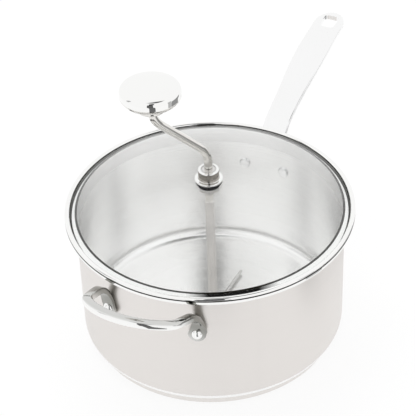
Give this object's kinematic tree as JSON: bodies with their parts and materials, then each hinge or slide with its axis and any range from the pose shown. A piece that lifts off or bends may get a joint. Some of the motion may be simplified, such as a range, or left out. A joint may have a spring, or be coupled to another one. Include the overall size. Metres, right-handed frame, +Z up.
{
  "type": "stovetop popcorn popper",
  "caption": "Deep steel pan with a long handle and a helper handle, a steel-banded glass lid, and a hand crank with a round knob that turns a wire stirrer at the floor.",
  "frame": {"origin": "middle of the flat underside of the pan's base", "axes": "+Z up along the pan's axis and the crank shaft, +Y towards the tip of the long handle, helper handle towards -Y"},
  "size_m": [0.2608, 0.475, 0.2856],
  "materials": {
    "pan_steel": "satin, fine horizontal brushing outside and inside",
    "core_aluminium": "plain turned disc, hidden by its steel cap",
    "base_steel": "satin with turned rings underneath",
    "handle_steel": "bright polished",
    "rivet_steel": "bright polished heads",
    "helper_chrome": "mirror polished casting",
    "lid_glass": "clear toughened glass",
    "band_chrome": "mirror polished rolled band",
    "collar_chrome": "mirror polished turning",
    "bush_nylon": "natural nylon",
    "gasket_silicone": "matte black",
    "fitting_steel": "dull zinc-like steel",
    "rod_chrome": "mirror polished bent rod",
    "clip_steel": "dark spring steel",
    "knob_chrome": "mirror polished spun shells",
    "shaft_steel": "satin turned steel",
    "wire_steel": "bright drawn wire"
  },
  "bodies": {
    "pan": {"pot_body": "pan_steel", "base_core": "core_aluminium", "base_cladding": "base_steel", "main_handle": "handle_steel", "main_handle_rivets": "rivet_steel", "helper_handle": "helper_chrome", "helper_handle_rivets": "rivet_steel"},
    "lid": {"lid_glass": "lid_glass", "lid_band": "band_chrome", "bearing_collar": "collar_chrome", "shaft_bush": "bush_nylon", "collar_gasket": "gasket_silicone", "lower_gasket": "gasket_silicone", "clamp_washer": "fitting_steel", "lock_nut": "fitting_steel"},
    "crank": {"crank_rod": "rod_chrome", "rod_ring": "fitting_steel", "stop_washer": "fitting_steel", "rod_clip": "clip_steel", "knob_washer": "fitting_steel", "knob_clip": "clip_steel", "stirrer_shaft": "shaft_steel", "stirrer_hub": "shaft_steel", "hub_set_screw": "clip_steel", "sweep_wire": "wire_steel", "lift_wire": "wire_steel"},
    "knob": {"knob_cap": "knob_chrome", "knob_base": "knob_chrome", "knob_bush": "bush_nylon"}
  },
  "joints": [
    {"name": "lid_lift", "type": "slide", "parent": "pan", "child": "lid", "axis": [0, 0, 1], "range_m": [0, 0.15]},
    {"name": "crank_turn", "type": "hinge", "parent": "lid", "child": "crank", "pos_m": [0, 0, 0.16], "axis": [0, 0, 1], "continuous": true},
    {"name": "knob_spin", "type": "hinge", "parent": "crank", "child": "knob", "pos_m": [-0.02898, -0.04462, 0.267], "axis": [0, 0, 1], "continuous": true}
  ]
}
